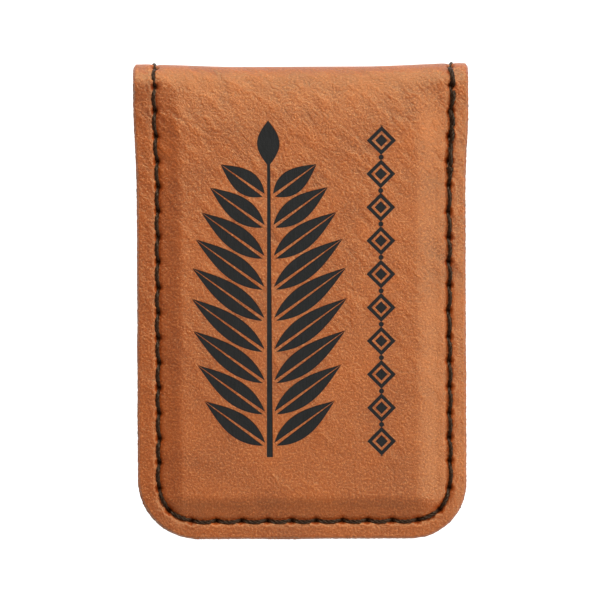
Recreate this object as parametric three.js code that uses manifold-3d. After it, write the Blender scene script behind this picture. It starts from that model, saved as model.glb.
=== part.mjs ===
// Magnetic money clip: a strip of leatherette folded once, sewn to a lining strip of the same size, with a
// board and a flat magnet sealed in each leg. Bills slide between the legs and the magnets hold them shut.
//
// Millimetres. The clip lies closed on its back leg: +X across the strip, +Y towards the fold, +Z up.
// The origin is the centre of its footprint, on the table.
//
// A real fold bends all along its length. Here it is a chain of rigid links: a leg, a back link, a front link
// and a leg, which turn about axes just outside the cover, so that the cover keeps its length as it opens.
// The front half is the back half mirrored in the plane midway between the legs.

import * as THREE from "three";
import { mergeVertices } from "three/addons/utils/BufferGeometryUtils.js";
import Module from "manifold-3d";

const wasm = await Module();
wasm.setup();

// Driving dimensions
const WIDTH = 43.6; // across the strip
const LENGTH = 63.5; // free ends to the outside of the fold, 2 1/2 in
const CORNER_RADIUS = { left: 8, right: 7.35 }; // the free corners of each leg
const COVER = 1.0; // leatherette of the cover
const LINING = 0.85; // leatherette of the lining
const GLUE = 0.05; // glue line between two layers
const BOARD = 1.55; // board inside each leg
const LEG_GAP = 0.4; // between the linings of the closed legs
const FOLD_OUTER_RADIUS = 3.2; // outside of the cover at the fold
const FOLD_COVER = 0.95; // the layers are pressed a little thinner at the fold
const FOLD_LINING = 0.8;
const FOLD_DIP = 0.4; // the middle of the fold lies this far inside its two ends
const FOLD_DIP_REACH = 14; // and it gets there this far from them
const FOLD_SPREAD = 0.42; // the strip is this much wider on each side at the fold, 1 3/4 in in all
const SPREAD_RAMP = { from: 18, to: 5 }; // it widens between these distances from the outside of the fold
const OUTER_PINCH = 1.0; // how far the seam pulls the cover in along a leg
const INNER_PINCH = 0.6; // how far it pulls the lining in
const PINCH_SLOPE = { left: 2.9, right: 4, end: 2.9 }; // slopes from the flat of the leg down to the seam
const SEAM_INSET = { left: 2.7, right: 2.15, end: 2.3 }; // thread centre to the cut edge
const SEAM_CORNER_RADIUS = 4.6;
const THREAD_RADIUS = 0.25;
const THREAD_PROUD = 0.15; // how much of the thread stands above the leatherette
const THREAD_CLEARANCE = 0.08; // around the thread in its furrow
const FOLD_RAMP = 6.5; // length of leg over which the layers close up, ever more steeply, towards the fold
const FOLD_EASE = 1.2; // length of fold over which they level out
const MAGNET = { width: 25.4, length: 12.7, thickness: 1.5, corner: 1.2 };
const OVERRUN = 0.4; // what is cut off a solid, or cuts one, runs past it by this
const MAGNET_FROM_END = 14; // magnet centre to the free end
const WINDOW_CLEARANCE = 0.3; // around the magnet in the board's window
const LINK_ANGLE = 60; // each of the fold's three bends opens by this, in degrees
const LINK_GAP = 2; // left free on each side of a bend, in degrees of the fold

// Derived dimensions
const LEG = COVER + BOARD + LINING + 2 * GLUE;
const THICKNESS = 2 * LEG + LEG_GAP; // of the closed clip
const MID_HEIGHT = THICKNESS / 2;
const FOLD_CENTRE_Y = LENGTH / 2 - FOLD_OUTER_RADIUS;
const LEG_LENGTH = LENGTH - FOLD_OUTER_RADIUS; // along the cover, from the free end to where the fold begins
const FOLD_DEPTH = MID_HEIGHT - FOLD_OUTER_RADIUS; // the cover's depth at the fold, see place()
const DEGREE = Math.PI / 180;
const foldStation = (angle) => LEG_LENGTH + FOLD_OUTER_RADIUS * (angle + 90) * DEGREE;

const mix = THREE.MathUtils.lerp;
const smooth = THREE.MathUtils.smoothstep;
const clamp = THREE.MathUtils.clamp;

// 0 along the leg, 1 in the fold.
function closing(s) {
  const before = clamp(s - LEG_LENGTH + FOLD_RAMP, 0, FOLD_RAMP);
  const after = clamp(s - LEG_LENGTH, 0, FOLD_EASE);
  return (before ** 2 / FOLD_RAMP + 2 * after - after ** 2 / FOLD_EASE) / (FOLD_RAMP + FOLD_EASE);
}

// 0 along the leg, 1 where the strip has widened fully.
const spreading = (s) => smooth(s, LENGTH - SPREAD_RAMP.from, LENGTH - SPREAD_RAMP.to);

// A point of the back half. x runs across the strip and s along the outside of the cover from the free end;
// depth is measured inwards from the plane of the table, and round the fold from a circle that touches it.
function place(x, s, depth) {
  const aside = x * (1 + (spreading(s) * FOLD_SPREAD) / (WIDTH / 2));
  if (s <= LEG_LENGTH) return new THREE.Vector3(aside, s - LENGTH / 2, depth);
  const angle = (s - LEG_LENGTH) / FOLD_OUTER_RADIUS - Math.PI / 2;
  const radius = MID_HEIGHT - depth;
  const y = FOLD_CENTRE_Y + radius * Math.cos(angle);
  return new THREE.Vector3(aside, y, MID_HEIGHT + radius * Math.sin(angle));
}

// The flat of a leg, over the board, inside the slopes that run down to the seam.
const flat = {
  left: -WIDTH / 2 + SEAM_INSET.left + 2 * THREAD_RADIUS + PINCH_SLOPE.left,
  right: WIDTH / 2 - SEAM_INSET.right - 2 * THREAD_RADIUS - PINCH_SLOPE.right,
  end: SEAM_INSET.end + 2 * THREAD_RADIUS + PINCH_SLOPE.end,
};

// 0 on the flat of the leg, 1 at the seam and outside it.
function pinch(x, s) {
  const aside = Math.max(0, (flat.left - x) / PINCH_SLOPE.left, (x - flat.right) / PINCH_SLOPE.right);
  const below = Math.max(0, (flat.end - s) / PINCH_SLOPE.end);
  return smooth(Math.hypot(aside, below), 0, 1);
}

// How deep the cover lies at the fold: its middle dips inwards from its two ends.
function foldDepth(x) {
  const inset = WIDTH / 2 - Math.abs(x);
  return FOLD_DEPTH + FOLD_DIP * smooth(inset, 0, FOLD_DIP_REACH);
}

// Depths of the four leatherette surfaces.
const coverOuter = (x, s) => mix(OUTER_PINCH * pinch(x, s), foldDepth(x), closing(s));
const coverInner = (x, s) => mix(COVER + OUTER_PINCH * pinch(x, s), foldDepth(x) + FOLD_COVER, closing(s));
const foldLining = (x) => foldDepth(x) + FOLD_COVER + GLUE;
const liningOuter = (x, s) => mix(LEG - LINING - INNER_PINCH * pinch(x, s), foldLining(x), closing(s));
const liningInner = (x, s) =>
  mix(LEG - INNER_PINCH * pinch(x, s), foldLining(x) + FOLD_LINING, closing(s));

// from, to and the points between them in equal steps
const steps = (from, to, count) =>
  Array.from({ length: count + 1 }, (_, i) => mix(from, to, i / count));

const unique = (values) => [...new Set(values)];

const ACROSS_FLAT = steps(flat.left, flat.right, 6);

const ACROSS = unique([
  -WIDTH / 2,
  ...steps(flat.left - PINCH_SLOPE.left, flat.left, 4),
  ...ACROSS_FLAT,
  ...steps(flat.right, flat.right + PINCH_SLOPE.right, 4),
  WIDTH / 2,
]);

const ALONG_LEG = unique([
  -OVERRUN,
  ...steps(flat.end - PINCH_SLOPE.end, flat.end, 4),
  ...steps(flat.end, LENGTH - SPREAD_RAMP.from, 2),
  ...steps(LENGTH - SPREAD_RAMP.from, LEG_LENGTH - FOLD_RAMP, 2),
  ...steps(LEG_LENGTH - FOLD_RAMP, LEG_LENGTH, 5),
  ...steps(LEG_LENGTH, foldStation(-LINK_ANGLE - LINK_GAP), 3),
]);

const ALONG_LINK = steps(foldStation(-LINK_ANGLE + LINK_GAP), foldStation(-LINK_GAP), 6);

// A closed solid between two depths, over a grid of stations across and along the strip.
function sheet(across, along, outer, inner) {
  const positions = [];
  for (const depth of [outer, inner])
    for (const s of along)
      for (const x of across) positions.push(...place(x, s, depth(x, s)).toArray());
  const lastX = across.length - 1;
  const lastS = along.length - 1;
  const at = (i, j, layer) => (layer * along.length + j) * across.length + i;
  const index = [];
  const quad = (a, b, c, d) => index.push(a, b, c, a, c, d);
  for (let j = 0; j < lastS; j++)
    for (let i = 0; i < lastX; i++) {
      quad(at(i, j, 0), at(i, j + 1, 0), at(i + 1, j + 1, 0), at(i + 1, j, 0));
      quad(at(i, j, 1), at(i + 1, j, 1), at(i + 1, j + 1, 1), at(i, j + 1, 1));
    }
  for (let i = 0; i < lastX; i++) {
    quad(at(i, 0, 0), at(i + 1, 0, 0), at(i + 1, 0, 1), at(i, 0, 1));
    quad(at(i, lastS, 0), at(i, lastS, 1), at(i + 1, lastS, 1), at(i + 1, lastS, 0));
  }
  for (let j = 0; j < lastS; j++) {
    quad(at(0, j, 0), at(0, j, 1), at(0, j + 1, 1), at(0, j + 1, 0));
    quad(at(lastX, j, 0), at(lastX, j + 1, 0), at(lastX, j + 1, 1), at(lastX, j, 1));
  }
  return new THREE.BufferGeometry()
    .setAttribute("position", new THREE.Float32BufferAttribute(positions, 3))
    .setIndex(index);
}

function toSolid(geometry) {
  const bare = new THREE.BufferGeometry().setAttribute("position", geometry.getAttribute("position"));
  bare.setIndex(geometry.index);
  const merged = mergeVertices(bare, 1e-4);
  const vertProperties = merged.attributes.position.array;
  const triVerts = new Uint32Array(merged.index.array);
  return new wasm.Manifold(new wasm.Mesh({ numProp: 3, vertProperties, triVerts }));
}

function toGeometry(solid) {
  const mesh = solid.getMesh();
  return new THREE.BufferGeometry()
    .setAttribute("position", new THREE.BufferAttribute(mesh.vertProperties, 3))
    .setIndex(new THREE.BufferAttribute(mesh.triVerts, 1));
}

// A rectangle with round corners, from x0 to x1 and y0 to y1.
function roundedRectangle(x0, x1, y0, y1, radius) {
  return new THREE.Shape()
    .absarc(x0 + radius, y0 + radius, radius, Math.PI, 1.5 * Math.PI)
    .absarc(x1 - radius, y0 + radius, radius, 1.5 * Math.PI, 2 * Math.PI)
    .absarc(x1 - radius, y1 - radius, radius, 0, 0.5 * Math.PI)
    .absarc(x0 + radius, y1 - radius, radius, 0.5 * Math.PI, Math.PI);
}

// A shape in the XY plane, extruded from one height to another.
function prism(shape, bottom, top, curveSegments = 6) {
  const settings = { depth: top - bottom, bevelEnabled: false, curveSegments };
  return new THREE.ExtrudeGeometry(shape, settings).translate(0, 0, bottom);
}

// What the free end of a leg is trimmed to: round corners, opening out towards the fold and beyond it.
function legOutline() {
  const side = WIDTH / 2;
  const end = -LENGTH / 2;
  const { left, right } = CORNER_RADIUS;
  const shape = new THREE.Shape()
    .absarc(left - side, end + left, left, Math.PI, 1.5 * Math.PI)
    .absarc(side - right, end + right, right, 1.5 * Math.PI, 2 * Math.PI)
    .lineTo(side + LENGTH, LENGTH)
    .lineTo(-side - LENGTH, LENGTH);
  return toSolid(prism(shape, -OVERRUN, THICKNESS + OVERRUN));
}

const SEAM_LEFT = -WIDTH / 2 + SEAM_INSET.left;
const SEAM_RIGHT = WIDTH / 2 - SEAM_INSET.right;

// The seam round a leg as points (x, s), from the fold on the left, round the free end, to the fold on the right.
function legSeam(lastStation) {
  const turn = SEAM_CORNER_RADIUS;
  const fan = (x, from) =>
    steps(from, from + 90, 4).map((angle) => [
      x + turn * Math.cos(angle * DEGREE),
      SEAM_INSET.end + turn + turn * Math.sin(angle * DEGREE),
    ]);
  const straight = LEG_LENGTH - FOLD_RAMP;
  const rising = [
    ...steps(SEAM_INSET.end + turn, straight, 5).slice(1),
    ...steps(straight, LEG_LENGTH, 4).slice(1),
    ...steps(LEG_LENGTH, lastStation, 2).slice(1),
  ];
  return [
    ...rising.toReversed().map((s) => [SEAM_LEFT, s]),
    ...fan(SEAM_LEFT + turn, 180),
    ...steps(SEAM_LEFT + turn, SEAM_RIGHT - turn, 5).slice(1, -1).map((x) => [x, SEAM_INSET.end]),
    ...fan(SEAM_RIGHT - turn, 270),
    ...rising.map((s) => [SEAM_RIGHT, s]),
  ];
}

const linkSeam = (x, from, to) => steps(from, to, 4).map((s) => [x, s]);

// A six-sided rod along a seam, let into the surface whose depth is given so that a thread would stand proud
// of it. inwards is 1 on the cover, whose depths grow into the strip, and -1 on the lining.
function rod(seam, surface, inwards, radius) {
  const sides = 6;
  const sunk = inwards * (THREAD_RADIUS - THREAD_PROUD);
  const centres = seam.map(([x, s]) => place(x, s, surface(x, s) + sunk));
  const positions = [];
  seam.forEach(([x, s], i) => {
    const before = centres[Math.max(i - 1, 0)];
    const after = centres[Math.min(i + 1, seam.length - 1)];
    const tangent = after.clone().sub(before).normalize();
    const up = place(x, s, 0).sub(place(x, s, 1)).normalize();
    const aside = up.cross(tangent).normalize();
    const normal = tangent.clone().cross(aside);
    for (const angle of steps(0, 360, sides).slice(0, -1)) {
      const reach = aside.clone().multiplyScalar(Math.cos(angle * DEGREE));
      reach.addScaledVector(normal, Math.sin(angle * DEGREE));
      positions.push(...centres[i].clone().addScaledVector(reach, radius).toArray());
    }
  });
  const index = [];
  const last = (seam.length - 1) * sides;
  for (let ring = 0; ring < last; ring += sides)
    for (let k = 0; k < sides; k++) {
      const next = (k + 1) % sides;
      index.push(ring + k, ring + next, ring + sides + next);
      index.push(ring + k, ring + sides + next, ring + sides + k);
    }
  for (let k = 1; k < sides - 1; k++) index.push(0, k + 1, k, last, last + k, last + k + 1);
  return new THREE.BufferGeometry()
    .setAttribute("position", new THREE.Float32BufferAttribute(positions, 3))
    .setIndex(index);
}

const thread = (seam, surface, inwards) => rod(seam, surface, inwards, THREAD_RADIUS);
const furrow = (seam, surface, inwards) =>
  toSolid(rod(seam, surface, inwards, THREAD_RADIUS + THREAD_CLEARANCE));

// A leatherette sheet of a leg: cut to the outline, with a furrow for the thread on its outside.
function legSheet(outer, inner, sewn, inwards) {
  const seam = legSeam(foldStation(-LINK_ANGLE - LINK_GAP) + OVERRUN);
  return toGeometry(
    toSolid(sheet(ACROSS, ALONG_LEG, outer, inner))
      .intersect(legOutline())
      .subtract(furrow(seam, sewn, inwards)),
  );
}

// A leatherette sheet of a fold link, with a furrow at each side.
function linkSheet(outer, inner, sewn, inwards) {
  const from = ALONG_LINK[0] - OVERRUN;
  const to = ALONG_LINK.at(-1) + OVERRUN;
  const furrows = [SEAM_LEFT, SEAM_RIGHT].map((x) =>
    furrow(linkSeam(x, from, to), sewn, inwards),
  );
  return toGeometry(
    furrows.reduce((left, cut) => left.subtract(cut), toSolid(sheet(ACROSS, ALONG_LINK, outer, inner))),
  );
}

// The board fills the leg under the flat, thins towards the fold, and has a window for the magnet.
function board() {
  const end = flat.end;
  const fold = LEG_LENGTH - 0.1 * FOLD_RAMP;
  const across = [flat.left - OVERRUN, ...ACROSS_FLAT, flat.right + OVERRUN];
  const within = (x) => clamp(x, flat.left, flat.right);
  const along = [end - OVERRUN, ...steps(LEG_LENGTH - FOLD_RAMP, LEG_LENGTH, 5)];
  const outer = (x, s) => coverInner(within(x), s) + GLUE;
  const inner = (x, s) => liningOuter(within(x), s) - GLUE;
  const outline = prism(
    roundedRectangle(flat.left, flat.right, end - LENGTH / 2, fold - LENGTH / 2, MAGNET.corner * 2),
    0,
    THICKNESS,
  );
  return toGeometry(
    toSolid(sheet(across, along, outer, inner))
      .intersect(toSolid(outline))
      .subtract(toSolid(magnetPrism(WINDOW_CLEARANCE, 0, THICKNESS))),
  );
}

function magnetPrism(clearance, bottom, top) {
  const x = MAGNET.width / 2 + clearance;
  const y = MAGNET.length / 2 + clearance;
  const middle = MAGNET_FROM_END - LENGTH / 2;
  return prism(roundedRectangle(-x, x, middle - y, middle + y, MAGNET.corner), bottom, top);
}

const magnetBottom = COVER + GLUE;

const finish = (color, roughness, metalness = 0) =>
  new THREE.MeshStandardMaterial({ color, roughness, metalness });
const TAN_LEATHERETTE = finish(0xb5683a, 0.6);
const GREY_BOARD = finish(0x8c8478, 0.9);
const NICKEL_PLATE = finish(0xc9c9c6, 0.25, 1);
const BROWN_THREAD = finish(0x2b190f, 0.8);

// The solids of one half, by name, each with its material.
function halfPieces() {
  const seam = legSeam(ALONG_LEG.at(-1));
  const linkEnds = [ALONG_LINK[0], ALONG_LINK.at(-1)];
  const left = linkSeam(SEAM_LEFT, ...linkEnds);
  const right = linkSeam(SEAM_RIGHT, ...linkEnds);
  return {
    cover: [legSheet(coverOuter, coverInner, coverOuter, 1), TAN_LEATHERETTE],
    lining: [legSheet(liningOuter, liningInner, liningInner, -1), TAN_LEATHERETTE],
    board: [board(), GREY_BOARD],
    magnet: [magnetPrism(0, magnetBottom, magnetBottom + MAGNET.thickness), NICKEL_PLATE],
    needle_thread: [thread(seam, coverOuter, 1), BROWN_THREAD],
    bobbin_thread: [thread(seam, liningInner, -1), BROWN_THREAD],
    fold_cover: [linkSheet(coverOuter, coverInner, coverOuter, 1), TAN_LEATHERETTE],
    fold_lining: [linkSheet(liningOuter, liningInner, liningInner, -1), TAN_LEATHERETTE],
    fold_needle_thread_left: [thread(left, coverOuter, 1), BROWN_THREAD],
    fold_needle_thread_right: [thread(right, coverOuter, 1), BROWN_THREAD],
    fold_bobbin_thread_left: [thread(left, liningInner, -1), BROWN_THREAD],
    fold_bobbin_thread_right: [thread(right, liningInner, -1), BROWN_THREAD],
  };
}

// One half of the clip as a group of named meshes.
function half(side, pieces) {
  const group = new THREE.Group();
  for (const [name, [geometry, material]] of Object.entries(pieces)) {
    const mesh = new THREE.Mesh(geometry, material);
    mesh.name = `${side}_${name}`;
    group.add(mesh);
  }
  return group;
}

const pieces = halfPieces();
const backHalf = half("back", pieces);
const frontHalf = half("front", pieces);
frontHalf.scale.z = -1;
frontHalf.position.z = THICKNESS;

const clip = new THREE.Group();
clip.add(backHalf, frontHalf);

export default clip;
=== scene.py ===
"""The looks of a magnetic money clip: a stitched strip of tan leatherette, folded over and engraved.

Sizes are millimetres until a mesh is made. A point of the strip is (x, v, depth): x runs across it, v along
its outside from the middle of the fold, positive on the front leg, and depth from the outside inwards.
"""

import math

import bmesh
import bpy
import numpy as np
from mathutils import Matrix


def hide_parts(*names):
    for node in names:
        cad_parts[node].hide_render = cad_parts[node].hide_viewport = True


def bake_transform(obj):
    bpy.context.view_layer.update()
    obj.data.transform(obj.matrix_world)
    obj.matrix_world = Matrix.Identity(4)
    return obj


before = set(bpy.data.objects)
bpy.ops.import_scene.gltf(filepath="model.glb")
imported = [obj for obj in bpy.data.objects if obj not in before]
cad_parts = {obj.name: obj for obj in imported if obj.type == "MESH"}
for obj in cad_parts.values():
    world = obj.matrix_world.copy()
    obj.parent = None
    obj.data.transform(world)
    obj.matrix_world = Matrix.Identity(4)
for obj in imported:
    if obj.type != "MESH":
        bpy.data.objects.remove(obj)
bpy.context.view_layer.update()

# The strip, as in the CAD model
WIDTH = 43.6
LENGTH = 63.5
CORNER_LEFT = 8.0
CORNER_RIGHT = 7.35
COVER = 1.0
LINING = 0.85
GLUE = 0.05
BOARD = 1.55
LEG_GAP = 0.4
FOLD_RADIUS = 3.2
FOLD_COVER = 0.95
FOLD_LINING = 0.8
FOLD_DIP = 0.4
FOLD_DIP_REACH = 14.0
FOLD_SPREAD = 0.42
SPREAD_FROM = 18.0
SPREAD_TO = 5.0
FOLD_RAMP = 6.5
FOLD_EASE = 1.2
OUTER_PINCH = 1.0
INNER_PINCH = 0.6
SLOPE_LEFT = 2.9
SLOPE_RIGHT = 4.0
SLOPE_END = 2.9
SEAM_RIM = 0.5
SEAM_LEFT = -WIDTH / 2 + 2.7
SEAM_RIGHT = WIDTH / 2 - 2.15
SEAM_END = 2.3
SEAM_TURN = 4.6

LEG = COVER + BOARD + LINING + 2 * GLUE
THICKNESS = 2 * LEG + LEG_GAP
MID_HEIGHT = THICKNESS / 2
FOLD_CENTRE_Y = LENGTH / 2 - FOLD_RADIUS
LEG_LENGTH = LENGTH - FOLD_RADIUS
HALF = LEG_LENGTH + FOLD_RADIUS * math.pi / 2
FOLD_DEPTH = MID_HEIGHT - FOLD_RADIUS
FLAT_LEFT = SEAM_LEFT + SEAM_RIM + SLOPE_LEFT
FLAT_RIGHT = SEAM_RIGHT - SEAM_RIM - SLOPE_RIGHT
FLAT_END = SEAM_END + SEAM_RIM + SLOPE_END

# What only the looks have
MM = 0.001
PITCH = FOLD_RADIUS * math.radians(60)  # one stitch, which is also one bend of the fold
SPLIT = PITCH / 2  # the strip is cut into three pieces here, on each side of the middle of the fold
LEG_STITCHES = 45
PLY_OFFSET = 0.145  # a ply's centre from the thread's
PLY_RADIUS = 0.15
TWIST = 2.1  # length of thread in which its plies go once round
STITCH_BOW = 0.2  # how far a stitch bows outwards between its holes
STITCH_SINK = 0.1  # how deep the middle of the thread lies
STITCH_DIVE = 1.0  # how much deeper it goes at its holes
STITCH_ARCH = 3.2  # how squarely a stitch is arched between them
EDGE_ROLL = 0.22  # radius of the leatherette's worn top edge
MARGIN_FALL = 0.12  # slope of the margins beside the seam, down to the long edges
GRID = 0.21
SHINE = 0.9  # specular level of the bare leatherette


def smooth(value, low, high):
    t = np.clip((value - low) / (high - low), 0, 1)
    return t * t * (3 - 2 * t)


def mix(a, b, t):
    return a + (b - a) * t


def ripple(x, v, size, seed):
    """Smooth random waves of about this size, between -1 and 1."""
    rng = np.random.default_rng(seed)
    total = 0 * x
    for _ in range(7):
        angle, phase = rng.uniform(0, 2 * math.pi, 2)
        turns = 2 * math.pi / (size * rng.uniform(0.7, 1.5))
        total = total + np.sin(turns * (x * math.cos(angle) + v * math.sin(angle)) + phase)
    return total / 7


def station(v):
    """Distance along the strip from the free end of the leg."""
    return HALF - np.abs(v)


def closing(s):
    """0 along the leg, 1 in the fold: it grows ever more steeply up to the fold and levels out in it."""
    before = np.clip(s - LEG_LENGTH + FOLD_RAMP, 0, FOLD_RAMP)
    after = np.clip(s - LEG_LENGTH, 0, FOLD_EASE)
    return (before**2 / FOLD_RAMP + 2 * after - after**2 / FOLD_EASE) / (FOLD_RAMP + FOLD_EASE)


def spreading(s):
    """0 along the leg, 1 where the strip has widened fully."""
    return smooth(s, LENGTH - SPREAD_FROM, LENGTH - SPREAD_TO)


def place(x, v, depth):
    """Points of the strip as an array of x, y, z in metres."""
    s = station(v)
    aside = x * (1 + spreading(s) * FOLD_SPREAD / (WIDTH / 2))
    angle = np.maximum(s - LEG_LENGTH, 0) / FOLD_RADIUS - math.pi / 2
    radius = MID_HEIGHT - depth
    on_leg = s <= LEG_LENGTH
    y = np.where(on_leg, s - LENGTH / 2, FOLD_CENTRE_Y + radius * np.cos(angle))
    z = np.where(on_leg, depth, MID_HEIGHT + radius * np.sin(angle))
    z = np.where(v > 0, THICKNESS - z, z)
    return np.stack([aside, y, z], axis=-1) * MM


def inset(x, s, left, right, end, turn):
    """How far a point lies inside a U with straight sides, closed by round corners at s = end."""
    across = np.abs(x - (left + right) / 2) - ((right - left) / 2 - turn)
    beyond = end + turn - s
    corner = np.hypot(np.maximum(across, 0), np.maximum(beyond, 0))
    return turn - corner - np.minimum(np.maximum(across, beyond), 0)


def edge_inset(x, s):
    return inset(x, s, -WIDTH / 2, WIDTH / 2, 0, np.where(x < 0, CORNER_LEFT, CORNER_RIGHT))


def seam_inset(x, s):
    return inset(x, s, SEAM_LEFT, SEAM_RIGHT, SEAM_END, SEAM_TURN)


def pinch(x, s):
    """0 on the flat of the leg, 1 at the seam and outside it."""
    aside = np.maximum(0, np.maximum((FLAT_LEFT - x) / SLOPE_LEFT, (x - FLAT_RIGHT) / SLOPE_RIGHT))
    return smooth(np.hypot(aside, np.maximum(0, FLAT_END - s) / SLOPE_END), 0, 1)


def fold_depth(x):
    return FOLD_DEPTH + FOLD_DIP * smooth(WIDTH / 2 - np.abs(x), 0, FOLD_DIP_REACH)


def cover_outer(x, v):
    s = station(v)
    return mix(OUTER_PINCH * pinch(x, s), fold_depth(x), closing(s))


def cover_inner(x, v):
    s = station(v)
    return mix(COVER + OUTER_PINCH * pinch(x, s), fold_depth(x) + FOLD_COVER, closing(s))


def lining_outer(x, v):
    s = station(v)
    fold = fold_depth(x) + FOLD_COVER + GLUE
    return mix(LEG - LINING - INNER_PINCH * pinch(x, s), fold, closing(s))


def lining_inner(x, v):
    s = station(v)
    fold = fold_depth(x) + FOLD_COVER + GLUE + FOLD_LINING
    return mix(LEG - INNER_PINCH * pinch(x, s), fold, closing(s))


def leg_holes(side, seed):
    """Needle holes of one leg as (x, v), from the fold on the left, round the free end, to the fold."""
    rise = LEG_LENGTH - SEAM_END - SEAM_TURN
    low = SEAM_END + SEAM_TURN
    quarter = np.linspace(0, math.pi / 2, 24)
    corner_x = SEAM_TURN * np.cos(quarter)
    corner_s = low - SEAM_TURN * np.sin(quarter)
    left_turn = SEAM_LEFT + SEAM_TURN - corner_x
    right_turn = (SEAM_RIGHT - SEAM_TURN + corner_x)[::-1]
    x = [[SEAM_LEFT], left_turn, right_turn, [SEAM_RIGHT]]
    s = [[low + rise], corner_s, corner_s[::-1], [low + rise]]
    path = np.stack([np.concatenate(x), np.concatenate(s)], axis=1)
    along = np.concatenate([[0], np.cumsum(np.hypot(*np.diff(path, axis=0).T))])
    rng = np.random.default_rng(seed)
    at = np.linspace(0, along[-1], LEG_STITCHES + 1)
    at[1:-1] += rng.normal(0, 0.07, LEG_STITCHES - 1)
    x, s = (np.interp(at, along, path[:, k]) for k in (0, 1))
    x[1:-1] += rng.normal(0, 0.035, LEG_STITCHES - 1)
    return np.stack([x, side * (HALF - s)], axis=1)


def fold_holes(x):
    return np.stack([np.full(4, x), PITCH * np.array([-1.5, -0.5, 0.5, 1.5])], axis=1)


BACK_HOLES = leg_holes(-1, seed=3)
FRONT_HOLES = leg_holes(1, seed=8)
LEFT_FOLD_HOLES = fold_holes(SEAM_LEFT)
RIGHT_FOLD_HOLES = fold_holes(SEAM_RIGHT)
ALL_HOLES = np.concatenate([BACK_HOLES, FRONT_HOLES, LEFT_FOLD_HOLES[1:3], RIGHT_FOLD_HOLES[1:3]])


def sewn_detail(x, v):
    """How much deeper the sewing, the worn edge and the wear of the strip leave its surface."""
    s = station(v)
    seam = np.abs(seam_inset(x, s))
    furrow = 0.34 * np.exp(-((seam / 0.4) ** 2)) - 0.05 * np.exp(-(((seam - 1.1) / 0.5) ** 2))
    depth = furrow * (1 - 0.65 * closing(s))
    outside = seam_inset(x, s) < 0
    for hole_x, hole_v in ALL_HOLES:
        near = np.abs(v - hole_v) < 3
        away = np.hypot(x[near] - hole_x, v[near] - hole_v)
        pull = 0.6 * np.exp(-((away / 0.38) ** 2)) + 0.08 * np.exp(-((away / 1.0) ** 2))
        pucker = 0.13 * np.exp(-(((away - 0.75) / 0.28) ** 2)) * outside[near]
        depth[near] += pull - pucker
    margin = np.maximum(0, np.maximum(SEAM_LEFT - x, x - SEAM_RIGHT) - 0.4)
    depth += MARGIN_FALL * margin * (1 - closing(s))
    roll = np.clip(EDGE_ROLL - edge_inset(x, s), 0, EDGE_ROLL)
    depth += EDGE_ROLL - np.sqrt(EDGE_ROLL**2 - roll**2)
    return depth


def soiling(x, v):
    """Painted shade of the needle holes: 1 in them, where the leatherette is painted dark, and 0 away from
    them.
    """
    dark = 0 * x
    for hole_x, hole_v in ALL_HOLES:
        near = np.abs(v - hole_v) < 2
        away = np.hypot(x[near] - hole_x, v[near] - hole_v)
        dark[near] = np.maximum(dark[near], np.exp(-((away / 0.36) ** 4)))
    return dark


def undulation(x, v):
    """Slow unevenness of the leatherette over its board, and a slight crown."""
    s = station(v)
    over_board = (1 - pinch(x, s)) * (1 - closing(s))
    margin = np.clip(-seam_inset(x, s), 0, 1.5) / 1.5
    return (
        over_board * (0.05 + 0.035 * ripple(x, v, 9, 5))
        + 0.03 * ripple(x, v, 4, 6) * pinch(x, s)
        + 0.05 * ripple(x, v, 6, 11) * margin
    )


def cover_surface(x, v):
    """The visible face of the cover. It stays above the table under the back leg."""
    depth = cover_outer(x, v) + sewn_detail(x, v) - undulation(x, v)
    return np.where(v < 0, np.maximum(depth, 0), depth)


def lining_surface(x, v):
    return lining_inner(x, v) - 0.75 * sewn_detail(x, v)


def columns():
    """Stations across the strip, close together at its edges, as shares of half its width."""
    edge = [0, 0.02, 0.06, 0.12, 0.2, 0.3, 0.44]
    rim = np.arange(edge[-1] + 0.18, 5, 0.85 * GRID)
    right = WIDTH / 2 - np.concatenate([edge, rim])
    middle = np.linspace(-right[-1], right[-1], int(2 * right[-1] / (1.25 * GRID)) + 2)[1:-1]
    return np.concatenate([-right, middle, right[::-1]]) / (WIDTH / 2)


def leg_rows():
    """Stations along a leg from its free end to the split in the fold."""
    edge = [0, 0.02, 0.06, 0.12, 0.2, 0.3, 0.44]
    corner = np.arange(edge[-1] + 0.16, CORNER_LEFT, 0.85 * GRID)
    straight = np.linspace(corner[-1], LEG_LENGTH, int((LEG_LENGTH - corner[-1]) / GRID) + 1)[1:]
    last = HALF - SPLIT
    fold = np.linspace(LEG_LENGTH, last - 0.02, int((last - LEG_LENGTH) / (0.75 * GRID)) + 1)[1:]
    return np.concatenate([edge, corner, straight, fold, [last]])


def fold_rows():
    """Stations of the piece over the middle of the fold."""
    inner = np.linspace(-SPLIT + 0.02, SPLIT - 0.02, int(2 * SPLIT / (0.75 * GRID)) + 2)
    return np.concatenate([[-SPLIT], inner, [SPLIT]])


def sides(v):
    """The left and the right edge of the strip, which its round corners draw in."""

    def reach(corner):
        low = np.clip(corner - station(v), 0, corner)
        return WIDTH / 2 - corner + np.sqrt(corner**2 - low**2)

    return -reach(CORNER_LEFT), reach(CORNER_RIGHT)


def outline(last_x, last_v):
    """Grid places round the edge of a sheet, in order."""
    return (
        [(i, 0) for i in range(last_x)]
        + [(last_x, j) for j in range(last_v)]
        + [(i, last_v) for i in range(last_x, 0, -1)]
        + [(0, j) for j in range(last_v, 0, -1)]
    )


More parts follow.
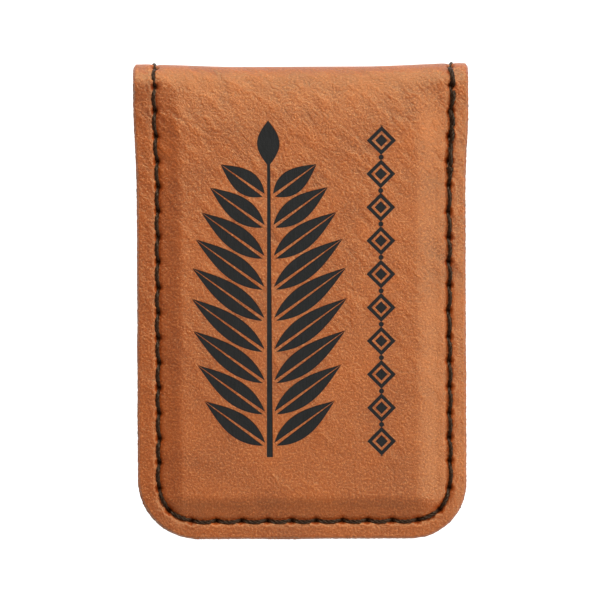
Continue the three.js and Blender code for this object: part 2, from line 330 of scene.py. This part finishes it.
def wall_rows(x, v, visible, hidden, cut, seed):
    """Points of the cut edge, ring by ring from the visible face to the hidden one, and how far each is."""
    ahead_x, ahead_v = np.roll(x, -1) - np.roll(x, 1), np.roll(v, -1) - np.roll(v, 1)
    length = np.hypot(ahead_x, ahead_v)
    normal_x, normal_v = ahead_v / length, -ahead_x / length
    rng = np.random.default_rng(seed)
    rings = []
    frayed = 0.17 + 0.09 * np.maximum(0, ripple(x, v, 11, seed + 20))
    for share in (0.12, 0.27, 0.45, 0.65, 0.85, 1.0):
        bulge = frayed * math.sin(math.pi * share**0.7) + rng.normal(0, 0.025, len(x)) * (share < 1)
        bulge = np.where(cut, bulge, 0)
        depth = mix(visible, hidden, share)
        rings.append((x + normal_x * bulge, v + normal_v * bulge, depth, np.full(len(x), share)))
    return rings


def hidden_faces(last_x, last_v, ring_of):
    """Coarse faces for the glued side of a sheet, whose edge has every vertex of the outline."""
    step = 4
    coarse_x = sorted({*range(0, last_x, step), last_x})
    coarse_v = sorted({*range(0, last_v, step), last_v})
    inner = [(i, j) for j in coarse_v[1:-1] for i in coarse_x[1:-1]]
    inner_at = {key: n for n, key in enumerate(inner)}

    def side(a, b):
        (i, j), (k, m) = a, b
        on_edge = (j == m and j in (0, last_v)) or (i == k and i in (0, last_x))
        if not on_edge:
            return [a]
        step_i, step_j = np.sign(k - i), np.sign(m - j)
        count = abs(k - i) + abs(m - j)
        return [(i + int(step_i) * n, j + int(step_j) * n) for n in range(count)]

    faces = []
    for j0, j1 in zip(coarse_v, coarse_v[1:]):
        for i0, i1 in zip(coarse_x, coarse_x[1:]):
            corners = [(i0, j0), (i1, j0), (i1, j1), (i0, j1)]
            ring = [p for a, b in zip(corners, corners[1:] + corners[:1]) for p in side(a, b)]
            faces.append([ring_of[p] if p in ring_of else inner_at[p] for p in ring])
    return inner, faces


def new_piece(name, points, faces, flat, material):
    """A mesh object, whose flat attribute keeps where each vertex lies in the flat pattern."""
    mesh = bpy.data.meshes.new(name)
    mesh.from_pydata(points.reshape(-1, 3).tolist(), [], faces)
    attribute = mesh.attributes.new("flat", "FLOAT_VECTOR", "POINT")
    attribute.data.foreach_set("vector", np.ascontiguousarray(flat, np.float32).ravel())
    tidy = bmesh.new()
    tidy.from_mesh(mesh)
    bmesh.ops.recalc_face_normals(tidy, faces=tidy.faces)
    tidy.to_mesh(mesh)
    tidy.free()
    mesh.shade_smooth()
    mesh.set_sharp_from_angle(angle=math.radians(55))
    mesh.materials.append(material)
    piece = bpy.data.objects.new(name, mesh)
    bpy.context.scene.collection.objects.link(piece)
    return piece


def sheet(name, rows, visible, hidden, material, seed):
    """One closed piece of leatherette between its visible face and its glued one."""
    share = columns()
    left, right = sides(rows)
    x = np.where(share < 0, -share * left[:, None], share * right[:, None])
    v = np.repeat(rows[:, None], len(share), axis=1)
    seen = visible(x.ravel(), v.ravel()).reshape(x.shape)
    last_x, last_v = len(share) - 1, len(rows) - 1
    columns_count = last_x + 1

    points = [place(x, v, seen).reshape(-1, 3)]
    flat = [np.stack([x, v, 0 * x], axis=-1).reshape(-1, 3)]
    # painted shade in the needle holes
    dark = soiling(x.ravel(), v.ravel())
    faces = []
    for j in range(last_v):
        row = j * columns_count
        for i in range(last_x):
            faces.append([row + i, row + i + columns_count, row + i + columns_count + 1, row + i + 1])

    loop = outline(last_x, last_v)
    at = np.array([j * columns_count + i for i, j in loop])
    loop_x, loop_v = x.ravel()[at], v.ravel()[at]
    cut = np.array([i in (0, last_x) or abs(rows[j]) > HALF - 0.01 for i, j in loop])
    rings = wall_rows(loop_x, loop_v, seen.ravel()[at], hidden(loop_x, loop_v), cut, seed)
    above, used = at, x.size
    for ring_x, ring_v, depth, ring_share in rings:
        points.append(place(ring_x, ring_v, depth))
        flat.append(np.stack([ring_x, ring_v, ring_share], axis=-1))
        below = used + np.arange(len(loop))
        for n in range(len(loop)):
            m = (n + 1) % len(loop)
            faces.append([int(above[n]), int(above[m]), int(below[m]), int(below[n])])
        above, used = below, used + len(loop)

    ring_of = {key: int(n) for key, n in zip(loop, above)}
    inner, glued = hidden_faces(last_x, last_v, {key: -1 - n for key, n in ring_of.items()})
    inner_x = np.array([x[j, i] for i, j in inner])
    inner_v = np.array([v[j, i] for i, j in inner])
    points.append(place(inner_x, inner_v, hidden(inner_x, inner_v)))
    flat.append(np.stack([inner_x, inner_v, 0 * inner_x + 1], axis=-1))
    faces += [[-1 - n if n < 0 else used + n for n in face] for face in glued]
    piece = new_piece(name, np.concatenate(points), faces, np.concatenate(flat), material)
    # the holes attribute carries the painted shade of the needle holes
    holes = piece.data.attributes.new("holes", "FLOAT", "POINT")
    holes.data.foreach_set("value", np.concatenate([dark, np.zeros(len(piece.data.vertices) - x.size)]))
    return piece


def back_tack():
    """The start of the seam is sewn over twice beside the fold on the right, and ends in a small knot."""
    x, v = SEAM_RIGHT, PITCH * 4.85
    aside = [-0.3, 0.45, -0.05, 0.4, 0.0, 0.2]
    along = [SPLIT, 5.4, 8.1, 10.7, 13.0, v]
    run = np.stack([x + np.array(aside), along], axis=1)
    knot = np.array([
        [(x - 0.15, v - 0.35), (x + 0.4, v + 0.3)],
        [(x + 0.4, v - 0.3), (x - 0.1, v + 0.35)],
    ])
    return np.concatenate([stitches(run), knot])


def stitches(holes):
    """Pairs of neighbouring holes."""
    return np.stack([holes[:-1], holes[1:]], axis=1)


def unit(vectors):
    return vectors / np.linalg.norm(vectors, axis=-1, keepdims=True)


def thread_lines(ends, surface, inwards, bow, lift):
    """Centre lines of stitches, with the directions across and out of the surface at each point."""
    t = np.linspace(0, 1, 25)[None, :]
    start, end = ends[:, 0, :, None], ends[:, 1, :, None]
    middle_x, middle_v = ends[:, :, 0].mean(axis=1), ends[:, :, 1].mean(axis=1)
    nudge = 0.01
    slope_x = seam_inset(middle_x + nudge, station(middle_v)) - seam_inset(middle_x, station(middle_v))
    slope_v = seam_inset(middle_x, station(middle_v + nudge)) - seam_inset(middle_x, station(middle_v))
    outwards = -unit(np.stack([slope_x, slope_v], axis=-1))
    arch = bow * np.sin(math.pi * t)
    x = mix(start[:, 0], end[:, 0], t) + outwards[:, 0, None] * arch
    v = mix(start[:, 1], end[:, 1], t) + outwards[:, 1, None] * arch
    dive = STITCH_DIVE * np.abs(2 * t - 1) ** STITCH_ARCH
    depth = surface(x, v) + inwards * (STITCH_SINK - lift + dive)
    centre = place(x, v, depth)
    tangent = unit(np.gradient(centre, axis=1))
    out = unit(place(x, v, depth - inwards * 0.05) - centre)
    across = unit(np.cross(out, tangent))
    return centre, across, np.cross(tangent, across), t * np.linalg.norm(end - start, axis=1)


def thread(name, ends, surface, inwards, material, bow=STITCH_BOW, lift=0.0):
    """Stitches of three twisted plies, each from hole to hole."""
    facets = 8
    centre, across, out, along = thread_lines(ends, surface, inwards, bow, lift)
    count, length = along.shape
    turn = 2 * math.pi * along / TWIST
    around = np.linspace(0, 2 * math.pi, facets, endpoint=False)
    points, flat = [], []
    for ply in range(3):
        phase = turn + ply * 2 * math.pi / 3
        wobble = across * np.cos(phase)[..., None] + out * np.sin(phase)[..., None]
        ply_centre = centre + wobble * PLY_OFFSET * MM
        reach = across[..., None, :] * np.cos(around)[:, None] + out[..., None, :] * np.sin(around)[:, None]
        points.append(ply_centre[..., None, :] + reach * PLY_RADIUS * MM)
        flat.append(
            np.stack(np.broadcast_arrays(along[..., None] + ply, around / math.pi, ply + 0.0), axis=-1)
        )
    points, flat = np.stack(points), np.stack(flat)
    faces = []
    for run in range(3 * count):
        first = run * length * facets
        for k in range(length - 1):
            low = first + k * facets
            for n in range(facets):
                m = (n + 1) % facets
                faces.append([low + n, low + m, low + facets + m, low + facets + n])
        faces.append(list(range(first, first + facets)))
        faces.append(list(range(first + (length - 1) * facets, first + length * facets)))
    return new_piece(name, points, faces, flat.reshape(-1, 3), material)


def edge_fibres(name, stations, material, seed):
    """Short dark fibres that stand out of the cut edges of the cover and the lining."""
    rng = np.random.default_rng(seed)
    along = [(edge, v) for v in stations for edge in sides(v)]
    ends = [(x, v) for v in stations if abs(v) > HALF - 0.01 for x in np.arange(-14, 14, 0.4)]
    roots = np.array(along + ends)
    roots = roots[rng.random(len(roots)) < 0.55]
    count = len(roots)
    x, v = roots.T
    layer = rng.random(count) < 0.6
    outer = np.where(layer, cover_outer(x, v), lining_outer(x, v))
    inner = np.where(layer, cover_inner(x, v), lining_inner(x, v))
    depth = mix(outer, inner, rng.uniform(0.3, 0.9, count))
    at_side = np.abs(np.abs(x) - WIDTH / 2) < 0.01
    out_x = np.where(at_side, np.sign(x), x / (WIDTH / 2))
    out_v = np.where(at_side, 0.0, np.sign(v))
    length = rng.uniform(0.1, 0.34, count) * np.where(rng.random(count) < 0.12, 1.7, 1)
    lean = rng.normal(0, 0.5, (2, count))
    radius = rng.uniform(0.012, 0.026, count)
    corner = np.radians([0, 120, 240])
    points, faces = [], []
    for step in range(4):
        t = step / 3
        reach = length * t - 0.05
        along_x = x + reach * out_x + lean[0] * out_v * length * t * t
        along_v = v + reach * out_v + lean[0] * (1 - np.abs(out_v)) * length * t * t
        along_depth = depth + lean[1] * length * t * t
        thin = radius * (1 - 0.8 * t)
        for angle in corner:
            points.append(
                place(
                    along_x + thin * math.cos(angle) * out_v,
                    along_v + thin * math.cos(angle) * (1 - np.abs(out_v)),
                    along_depth + thin * math.sin(angle),
                )
            )
    points = np.stack(points, axis=1)
    for k in range(count):
        first = 12 * k
        for step in range(3):
            for n in range(3):
                m = (n + 1) % 3
                a, b = first + 3 * step, first + 3 * step + 3
                faces.append([a + n, a + m, b + m, b + n])
        faces += [[first, first + 1, first + 2], [first + 9, first + 10, first + 11]]
    flat = np.repeat(np.stack([x, v, 0 * x + 1], axis=1), 12, axis=0)
    return new_piece(name, points, faces, flat, material)


# Materials


def node(tree, kind, inputs=None, output=0, **settings):
    """A new node with its settings and inputs, by name or number; returns one of its outputs."""
    made = tree.nodes.new(kind)
    for key, value in settings.items():
        setattr(made, key, value)
    for key, value in (inputs or {}).items():
        if isinstance(value, bpy.types.NodeSocket):
            tree.links.new(value, made.inputs[key])
        else:
            made.inputs[key].default_value = value
    return made.outputs[output]


def calc(tree, operation, *values, clamp=False):
    return node(tree, "ShaderNodeMath", dict(enumerate(values)), operation=operation, use_clamp=clamp)


def blend_colours(tree, share, a, b):
    inputs = {0: share, 6: a, 7: b}
    return node(tree, "ShaderNodeMix", inputs, output=2, data_type="RGBA")


def noise(tree, vector, scale, detail=2.0, roughness=0.5, distortion=0.0):
    inputs = {"Vector": vector, "Scale": scale, "Detail": detail, "Roughness": roughness}
    return node(tree, "ShaderNodeTexNoise", {**inputs, "Distortion": distortion})


def stretched(tree, vector, angle, scale):
    """The flat pattern turned and scaled, for marks that run one way."""
    turned = node(tree, "ShaderNodeVectorRotate", {"Vector": vector, "Angle": math.radians(angle)})
    return node(tree, "ShaderNodeVectorMath", {0: turned, 1: scale}, operation="MULTIPLY")


def srgb(red, green, blue):
    def linear(c):
        c /= 255
        return c / 12.92 if c <= 0.04045 else ((c + 0.055) / 1.055) ** 2.4

    return (linear(red), linear(green), linear(blue), 1.0)


def new_material(name):
    made = bpy.data.materials.new(name)
    made.use_nodes = True
    return made, made.node_tree, made.node_tree.nodes["Principled BSDF"]


def inside(tree, distance, soft=0.05):
    """1 where a distance in mm is positive, with a soft step."""
    return calc(tree, "DIVIDE", distance, soft, clamp=True)


def sprig(tree, x, s):
    """A leafy sprig: pairs of veined leaves along a stem, shorter towards the tip, and a leaf at the end."""
    foot, stem, pitch, lean, widest, longest = 12.0, 36.5, 4.15, 36.0, 1.62, 12.2
    tangent = math.tan(math.radians(lean))
    cosine = math.cos(math.radians(lean))
    along = calc(tree, "SUBTRACT", s, foot)
    aside = calc(tree, "ABSOLUTE", x)
    sheared = calc(tree, "SUBTRACT", along, calc(tree, "MULTIPLY", aside, tangent))
    number = calc(tree, "ROUND", calc(tree, "DIVIDE", sheared, pitch))
    base = calc(tree, "MULTIPLY", number, pitch)
    off = calc(tree, "SUBTRACT", sheared, base)
    across = calc(tree, "ABSOLUTE", calc(tree, "MULTIPLY", off, cosine))
    leaning = calc(tree, "MULTIPLY", off, tangent * cosine)
    reach = calc(tree, "ADD", calc(tree, "DIVIDE", aside, cosine), leaning)
    share = calc(tree, "DIVIDE", calc(tree, "SUBTRACT", base, 0.36 * stem), 0.86 * stem)
    taper = calc(tree, "SUBTRACT", 1.0, calc(tree, "MULTIPLY", share, share))
    length = calc(tree, "MULTIPLY", taper, longest)
    u = calc(tree, "DIVIDE", calc(tree, "SUBTRACT", reach, 0.7), length, clamp=True)
    swell = calc(tree, "SINE", calc(tree, "MULTIPLY", calc(tree, "POWER", u, 0.8), math.pi))
    blade = inside(tree, calc(tree, "SUBTRACT", calc(tree, "MULTIPLY", swell, widest), across))
    vein_width = calc(tree, "MULTIPLY", calc(tree, "SUBTRACT", 1.0, u), 0.2)
    vein = inside(tree, calc(tree, "SUBTRACT", across, vein_width))
    low = inside(tree, calc(tree, "ADD", base, 0.5))
    high = inside(tree, calc(tree, "SUBTRACT", stem + 0.5, base))
    leaf = calc(tree, "MULTIPLY", calc(tree, "MULTIPLY", blade, vein), calc(tree, "MULTIPLY", low, high))
    stalk_width = calc(tree, "SUBTRACT", 0.42, calc(tree, "MULTIPLY", along, 0.005))
    stalk = inside(tree, calc(tree, "SUBTRACT", stalk_width, aside))
    on_stem = calc(tree, "MULTIPLY", inside(tree, calc(tree, "ADD", along, 1.2)),
                   inside(tree, calc(tree, "SUBTRACT", stem + 1.5, along)))
    tip_u = calc(tree, "DIVIDE", calc(tree, "SUBTRACT", along, stem + 1.0), 6.2, clamp=True)
    tip_width = calc(tree, "MULTIPLY", calc(tree, "SINE", calc(tree, "MULTIPLY", tip_u, math.pi)), 1.5)
    tip = inside(tree, calc(tree, "SUBTRACT", tip_width, aside))
    stalk = calc(tree, "MULTIPLY", stalk, on_stem)
    return calc(tree, "MAXIMUM", calc(tree, "MAXIMUM", leaf, stalk), tip)


def border(tree, x, s):
    """A row of open lozenges with a dot between each two."""
    foot, pitch, count = 12.9, 4.45, 10
    along = calc(tree, "SUBTRACT", s, foot)
    number = calc(tree, "ROUND", calc(tree, "DIVIDE", along, pitch))
    off = calc(tree, "ABSOLUTE", calc(tree, "SUBTRACT", along, calc(tree, "MULTIPLY", number, pitch)))
    aside = calc(tree, "ABSOLUTE", x)
    size = calc(tree, "ADD", aside, off)
    outer = inside(tree, calc(tree, "SUBTRACT", 1.95, size))
    from_line = calc(tree, "ABSOLUTE", calc(tree, "SUBTRACT", size, 1.05))
    hollow = inside(tree, calc(tree, "SUBTRACT", from_line, 0.2))
    from_dot = calc(tree, "SUBTRACT", off, pitch / 2)
    apart = calc(tree, "POWER", calc(tree, "ADD", calc(tree, "MULTIPLY", from_dot, from_dot),
                                     calc(tree, "MULTIPLY", x, x)), 0.5)
    dot = inside(tree, calc(tree, "SUBTRACT", 0.36, apart))
    low = inside(tree, calc(tree, "ADD", along, pitch * 0.45))
    high = inside(tree, calc(tree, "SUBTRACT", pitch * (count + 0.45 - 1), along))
    row = calc(tree, "MAXIMUM", calc(tree, "MULTIPLY", outer, hollow), dot)
    return calc(tree, "MULTIPLY", row, calc(tree, "MULTIPLY", low, high))


def engraving(tree, flat):
    """1 where the front leg is engraved."""
    parts = tree.nodes.new("ShaderNodeSeparateXYZ")
    tree.links.new(flat, parts.inputs[0])
    x, v = parts.outputs[0], parts.outputs[1]
    s = calc(tree, "SUBTRACT", HALF, v)
    marks = calc(
        tree,
        "MAXIMUM",
        sprig(tree, calc(tree, "ADD", x, 4.3), s),
        border(tree, calc(tree, "SUBTRACT", x, 10.6), s),
    )
    return calc(tree, "MULTIPLY", marks, inside(tree, v))


def leatherette(name, engraved):
    """Tan leatherette: grain with specks painted lighter as highlights, creases with painted shade along
    them, painted shade in the needle holes, a black core at its cut edge, and any engraving.
    """
    made, tree, shader = new_material(name)
    flat = node(tree, "ShaderNodeAttribute", output=1, attribute_name="flat")
    # holes: the painted shade of the needle holes, which also dulls them
    holes = node(tree, "ShaderNodeAttribute", output=2, attribute_name="holes")
    parts = tree.nodes.new("ShaderNodeSeparateXYZ")
    tree.links.new(flat, parts.inputs[0])
    grain = noise(tree, flat, 3.0, detail=4.0, roughness=0.65)
    fine = noise(tree, flat, 8.0, detail=2.0)
    # specks of the grain: they raise the bump, and are painted lighter as highlights
    specks = noise(tree, flat, 3.3, detail=2.0, roughness=0.6)
    specks = calc(tree, "MULTIPLY", calc(tree, "SUBTRACT", specks, 0.5), 5.0, clamp=True)
    blotches = noise(tree, flat, 0.13, detail=2.0)
    patches = noise(tree, stretched(tree, flat, -50, (0.3, 0.7, 1.0)), 1.0, detail=2.0)
    pulled = stretched(tree, flat, -50, (0.4, 1.0, 1.0))
    creases = noise(tree, pulled, 1.0, detail=3.0, distortion=0.5)
    furrow = calc(tree, "ABSOLUTE", calc(tree, "SUBTRACT", creases, 0.5))
    crease = calc(tree, "SUBTRACT", 1.0, calc(tree, "MULTIPLY", furrow, 7.0), clamp=True)
    from_fold = calc(tree, "ABSOLUTE", parts.outputs[1])
    handled = calc(tree, "SUBTRACT", 1.0, calc(tree, "DIVIDE", from_fold, 40.0))
    worn = calc(tree, "SUBTRACT", calc(tree, "MULTIPLY", noise(tree, flat, 0.16), 2.2), 0.9)
    worn = calc(tree, "ADD", worn, calc(tree, "MULTIPLY", handled, 0.6), clamp=True)

    tone = calc(tree, "ADD", calc(tree, "MULTIPLY", grain, 0.9), calc(tree, "MULTIPLY", fine, 0.35))
    tone = calc(tree, "ADD", tone, calc(tree, "MULTIPLY", blotches, 0.5))
    # painted shade: the tone darkened along the creases, more where worn
    tone = calc(tree, "SUBTRACT", tone, calc(tree, "MULTIPLY", calc(tree, "MULTIPLY", crease, worn), 0.1))
    rubbed = calc(tree, "MULTIPLY", calc(tree, "SUBTRACT", patches, 0.5), calc(tree, "ADD", worn, 0.15))
    tone = calc(tree, "ADD", tone, calc(tree, "MULTIPLY", rubbed, 0.7))
    tone = calc(tree, "SUBTRACT", calc(tree, "MULTIPLY", tone, 1.9), 1.18, clamp=True)
    skin = blend_colours(tree, tone, srgb(113, 33, 2), srgb(153, 62, 3))
    # painted highlight: the specks lightened towards pale tan
    skin = blend_colours(tree, calc(tree, "MULTIPLY", specks, 0.4), skin, srgb(204, 118, 62))
    # painted shade: the leatherette darkened nearly to black in the needle holes
    skin = blend_colours(tree, calc(tree, "MULTIPLY", holes, 0.85), skin, srgb(12, 6, 3))

    ragged = calc(tree, "MULTIPLY", calc(tree, "SUBTRACT", noise(tree, flat, 6.0), 0.5), 0.25)
    core = inside(tree, calc(tree, "SUBTRACT", calc(tree, "ADD", parts.outputs[2], ragged), 0.2), soft=0.1)
    fibres = noise(tree, stretched(tree, flat, 0, (9.0, 9.0, 30.0)), 1.0, detail=3.0)
    core_colour = blend_colours(tree, fibres, srgb(14, 9, 6), srgb(56, 37, 24))
    colour = blend_colours(tree, core, skin, core_colour)

    height = calc(tree, "ADD", calc(tree, "MULTIPLY", grain, 0.13), calc(tree, "MULTIPLY", fine, 0.02))
    height = calc(tree, "ADD", height, calc(tree, "MULTIPLY", specks, 0.02))
    fold = calc(tree, "ADD", calc(tree, "MULTIPLY", creases, 0.07), calc(tree, "MULTIPLY", patches, 0.3))
    fold = calc(tree, "ADD", fold, calc(tree, "MULTIPLY", crease, -0.02))
    height = calc(tree, "ADD", height, calc(tree, "MULTIPLY", fold, calc(tree, "ADD", worn, 0.2)))
    rough = calc(tree, "ADD", calc(tree, "MULTIPLY", grain, 0.2), 0.29)
    dull = calc(tree, "MAXIMUM", core, holes)
    if engraved:
        mark = engraving(tree, flat)
        raster = noise(tree, stretched(tree, flat, 0, (9.0, 0.5, 1.0)), 1.0, detail=3.0)
        char = blend_colours(tree, raster, srgb(18, 18, 20), srgb(40, 40, 42))
        colour = blend_colours(tree, mark, colour, char)
        dull = calc(tree, "MAXIMUM", dull, mark)
        flatter = calc(tree, "SUBTRACT", 1.0, calc(tree, "MULTIPLY", mark, 0.7))
        height = calc(tree, "MULTIPLY", height, flatter)
        height = calc(tree, "SUBTRACT", height, calc(tree, "MULTIPLY", mark, 0.05))
    rough = calc(tree, "MAXIMUM", rough, calc(tree, "MULTIPLY", dull, 0.85))
    shine = calc(tree, "SUBTRACT", SHINE, calc(tree, "MULTIPLY", dull, SHINE - 0.1))
    bump = node(tree, "ShaderNodeBump", {"Strength": 1.0, "Distance": MM, "Height": height})
    tree.links.new(colour, shader.inputs["Base Color"])
    tree.links.new(rough, shader.inputs["Roughness"])
    tree.links.new(shine, shader.inputs["Specular IOR Level"])
    tree.links.new(bump, shader.inputs["Normal"])
    # set here too, as the export drops the link
    shader.inputs["Specular IOR Level"].default_value = SHINE  # set here too, on the shader's own socket
    shader.inputs["Specular Tint"].default_value = (1.0, 1.0, 0.52, 1)
    return made


def twisted_thread():
    """Dark brown sewing thread, whose fibres run along each ply."""
    made, tree, shader = new_material("sewing_thread")
    flat = node(tree, "ShaderNodeAttribute", output=1, attribute_name="flat")
    fibres = noise(tree, stretched(tree, flat, 0, (1.2, 9.0, 1.0)), 1.0, detail=3.0)
    colour = blend_colours(tree, fibres, srgb(8, 3, 1), srgb(48, 26, 12))
    bump = node(tree, "ShaderNodeBump", {"Strength": 0.8, "Distance": 0.07 * MM, "Height": fibres})
    tree.links.new(colour, shader.inputs["Base Color"])
    tree.links.new(bump, shader.inputs["Normal"])
    shader.inputs["Roughness"].default_value = 0.32
    shader.inputs["Specular IOR Level"].default_value = 0.28
    shader.inputs["Specular Tint"].default_value = (1.0, 0.78, 0.55, 1)
    return made


def grey_board():
    """Pressed grey board with a mottle of fibres."""
    made, tree, shader = new_material("grey_board")
    where = node(tree, "ShaderNodeTexCoord", output=3)
    fibres = noise(tree, where, 900.0, detail=4.0)
    colour = blend_colours(tree, fibres, srgb(118, 110, 100), srgb(168, 160, 148))
    tree.links.new(colour, shader.inputs["Base Color"])
    bump = node(tree, "ShaderNodeBump", {"Strength": 0.5, "Distance": 0.05 * MM, "Height": fibres})
    tree.links.new(bump, shader.inputs["Normal"])
    shader.inputs["Roughness"].default_value = 0.9
    return made


def nickel_plate():
    """Bright nickel plate with faint tumbling marks."""
    made, tree, shader = new_material("nickel_plate")
    where = node(tree, "ShaderNodeTexCoord", output=3)
    marks = noise(tree, where, 600.0, detail=3.0)
    rough = calc(tree, "ADD", calc(tree, "MULTIPLY", marks, 0.2), 0.15)
    tree.links.new(rough, shader.inputs["Roughness"])
    colour = blend_colours(tree, marks, srgb(190, 188, 182), srgb(214, 212, 206))
    tree.links.new(colour, shader.inputs["Base Color"])
    shader.inputs["Metallic"].default_value = 1.0
    return made


# Pieces


def bend(piece, part, slot, *nodes):
    """Bakes a piece's transform and hides the CAD parts that it stands for. part is back, fold or front; it
    is not used.
    """
    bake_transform(piece)
    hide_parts(*nodes)


def add_leatherette():
    """The cover and the lining, each in three pieces that meet in the fold."""
    rows = leg_rows()
    stretches = {"back": rows - HALF, "fold": fold_rows(), "front": (HALF - rows)[::-1]}
    nodes = {"back": ["back_{}"], "fold": ["back_fold_{}", "front_fold_{}"], "front": ["front_{}"]}
    faces = {
        "cover": (cover_surface, cover_inner, leatherette("tan_leatherette", engraved=True)),
        "lining": (lining_surface, lining_outer, leatherette("tan_lining", engraved=False)),
    }
    for layer, (visible, hidden, material) in faces.items():
        for seed, (part, stations) in enumerate(stretches.items()):
            piece = sheet(f"{layer}_{part}", stations, visible, hidden, material, seed)
            bend(piece, part, f"{layer}_leatherette", *[n.format(layer) for n in nodes[part]])


def add_threads():
    """The needle thread on the cover and the bobbin thread on the lining."""
    material = twisted_thread()
    left, right = LEFT_FOLD_HOLES, RIGHT_FOLD_HOLES
    runs = {
        "back": [stitches(BACK_HOLES), stitches(left[:2]), stitches(right[:2])],
        "fold": [stitches(left[1:3]), stitches(right[1:3])],
        "front": [stitches(FRONT_HOLES), stitches(left[2:]), stitches(right[2:])],
    }
    tack = thread("back_tack", back_tack(), cover_outer, 1, material, bow=0.12, lift=0.2)
    bend(tack, "front", "thread")
    for kind, surface, inwards in (("needle", cover_outer, 1), ("bobbin", lining_inner, -1)):
        for part, ends in runs.items():
            piece = thread(f"{kind}_thread_{part}", np.concatenate(ends), surface, inwards, material)
            if part == "fold":
                ends_of = [(side, hand) for side in ("back", "front") for hand in ("left", "right")]
                names = [f"{side}_fold_{kind}_thread_{hand}" for side, hand in ends_of]
            else:
                names = [f"{part}_{kind}_thread"]
            bend(piece, part, "thread", *names)


def edge_fibre():
    """Brown-black fibres of the leatherette's core."""
    made, tree, shader = new_material("edge_fibre")
    flat = node(tree, "ShaderNodeAttribute", output=1, attribute_name="flat")
    tint = noise(tree, flat, 3.0)
    colour = blend_colours(tree, tint, srgb(30, 20, 14), srgb(104, 74, 50))
    tree.links.new(colour, shader.inputs["Base Color"])
    shader.inputs["Roughness"].default_value = 0.8
    return made


def add_fibres():
    material = edge_fibre()
    stretches = {
        "back": np.arange(-HALF, -SPLIT, 0.45),
        "fold": np.arange(-SPLIT + 0.2, SPLIT, 0.45),
        "front": np.arange(HALF, SPLIT, -0.45),
    }
    for seed, (part, stations) in enumerate(stretches.items()):
        piece = edge_fibres(f"edge_fibres_{part}", stations, material, seed + 40)
        bend(piece, part, "cover_leatherette")


def finish_hidden_parts():
    """Materials for the boards and magnets, which keep their CAD shape."""
    looks = {"board": grey_board(), "magnet": nickel_plate()}
    for side in ("back", "front"):
        for part, material in looks.items():
            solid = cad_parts[f"{side}_{part}"]
            solid.data.materials.clear()
            solid.data.materials.append(material)


# Stage


def add_floor():
    made, _, shader = new_material("pale_floor")
    shader.inputs["Base Color"].default_value = (0.3, 0.3, 0.3, 1)
    shader.inputs["Roughness"].default_value = 0.9
    shader.inputs["Emission Color"].default_value = (1, 1, 1, 1)
    shader.inputs["Emission Strength"].default_value = 1.0
    bpy.ops.mesh.primitive_plane_add(size=3, location=(0, 0, 0))
    floor = bpy.context.object
    floor.name = "floor"
    floor.data.materials.append(made)


def add_light(name, azimuth, elevation, distance, size, power):
    """A square soft light that faces the clip."""
    light = bpy.data.lights.new(name, "AREA")
    light.size = size
    light.energy = power
    lamp = bpy.data.objects.new(name, light)
    lamp.rotation_euler = (math.radians(90 - elevation), 0, math.radians(90 + azimuth))
    level = math.cos(math.radians(elevation)) * distance
    lamp.location = (
        level * math.cos(math.radians(azimuth)),
        level * math.sin(math.radians(azimuth)),
        math.sin(math.radians(elevation)) * distance,
    )
    bpy.context.scene.collection.objects.link(lamp)


def add_camera():
    """Straight above, with a long lens, and turned a little against the clip."""
    camera = bpy.data.cameras.new("camera")
    camera.lens = 200
    camera.sensor_width = 36
    camera.clip_start = 0.01
    holder = bpy.data.objects.new("camera", camera)
    view_width = 80.1
    margin_height = 6.4
    height = view_width * camera.lens / camera.sensor_width + margin_height
    holder.location = (-0.2 * MM, 0.0, height * MM)
    holder.rotation_euler.z = math.radians(-0.22)
    bpy.context.scene.collection.objects.link(holder)
    bpy.context.scene.camera = holder


def add_stage():
    add_camera()
    add_floor()
    add_light("right", 0, 45, 0.4, 0.2, 0.44)
    add_light("right_low", 0, 22, 0.4, 0.2, 0.66)
    add_light("key", 25, 50, 0.4, 0.2, 0.64)
    add_light("top", 95, 42, 0.4, 0.2, 0.6)
    add_light("top_low", 95, 30, 0.4, 0.2, 1.2)
    add_light("low", 270, 40, 0.4, 0.2, 0.34)
    add_light("left", 180, 40, 0.4, 0.2, 0.17)
    world = bpy.data.worlds.new("studio")
    bpy.context.scene.world = world
    world.use_nodes = True
    backdrop = world.node_tree.nodes["Background"]
    backdrop.inputs["Color"].default_value = (1, 1, 1, 1)
    backdrop.inputs["Strength"].default_value = 0.17
    bpy.context.scene.view_settings.view_transform = "Standard"


add_stage()
add_leatherette()
add_threads()
add_fibres()
finish_hidden_parts()
